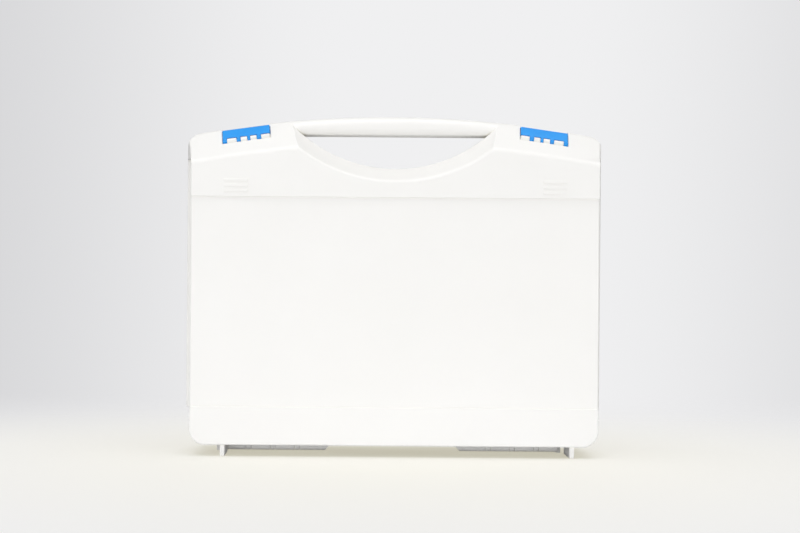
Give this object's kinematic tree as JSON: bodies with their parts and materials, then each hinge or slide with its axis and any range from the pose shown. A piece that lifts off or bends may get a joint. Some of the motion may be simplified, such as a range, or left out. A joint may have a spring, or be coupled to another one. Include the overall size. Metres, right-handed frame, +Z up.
{
  "type": "otoscope carry case",
  "caption": "Moulded plastic carry case for an otoscope: two shells hinged along the bottom, an arched handle in the top, snap latches and cut foam inside.",
  "frame": {"origin": "middle of the case across its width and along its depth, at the bottom of its foot fins, where it stands", "axes": "+X across the case to the right as seen from the front, +Y from the front shell (the lid) to the back shell (the base), +Z up towards the carry handle"},
  "size_m": [0.349, 0.0835, 0.2832],
  "materials": {
    "shell_plastic": "fine satin, white polypropylene",
    "latch_plastic": "satin gloss, blue polypropylene",
    "pin_steel": "drawn wire",
    "foam": "open cell polyurethane foam, dark grey"
  },
  "bodies": {
    "base": {"base_shell": "shell_plastic", "base_foam_floor": "foam", "base_foam_insert": "foam", "hinge_pin_left": "pin_steel", "hinge_pin_right": "pin_steel"},
    "lid": {"lid_shell": "shell_plastic", "lid_foam": "foam", "latch_pin_left": "pin_steel", "latch_pin_right": "pin_steel"},
    "latch_left": {"latch_left": "latch_plastic"},
    "latch_right": {"latch_right": "latch_plastic"}
  },
  "joints": [
    {"name": "lid_hinge", "type": "hinge", "parent": "base", "child": "lid", "pos_m": [0, 0, 0.0044], "axis": [1, 0, 0], "range_deg": [0, 180]},
    {"name": "latch_left_hinge", "type": "hinge", "parent": "lid", "child": "latch_left", "pos_m": [-0.12386, -0.024, 0.26258], "axis": [0.9902, 0, 0.1395], "range_deg": [0, 110]},
    {"name": "latch_right_hinge", "type": "hinge", "parent": "lid", "child": "latch_right", "pos_m": [0.12386, -0.024, 0.26258], "axis": [0.9902, 0, -0.1395], "range_deg": [0, 110]}
  ]
}
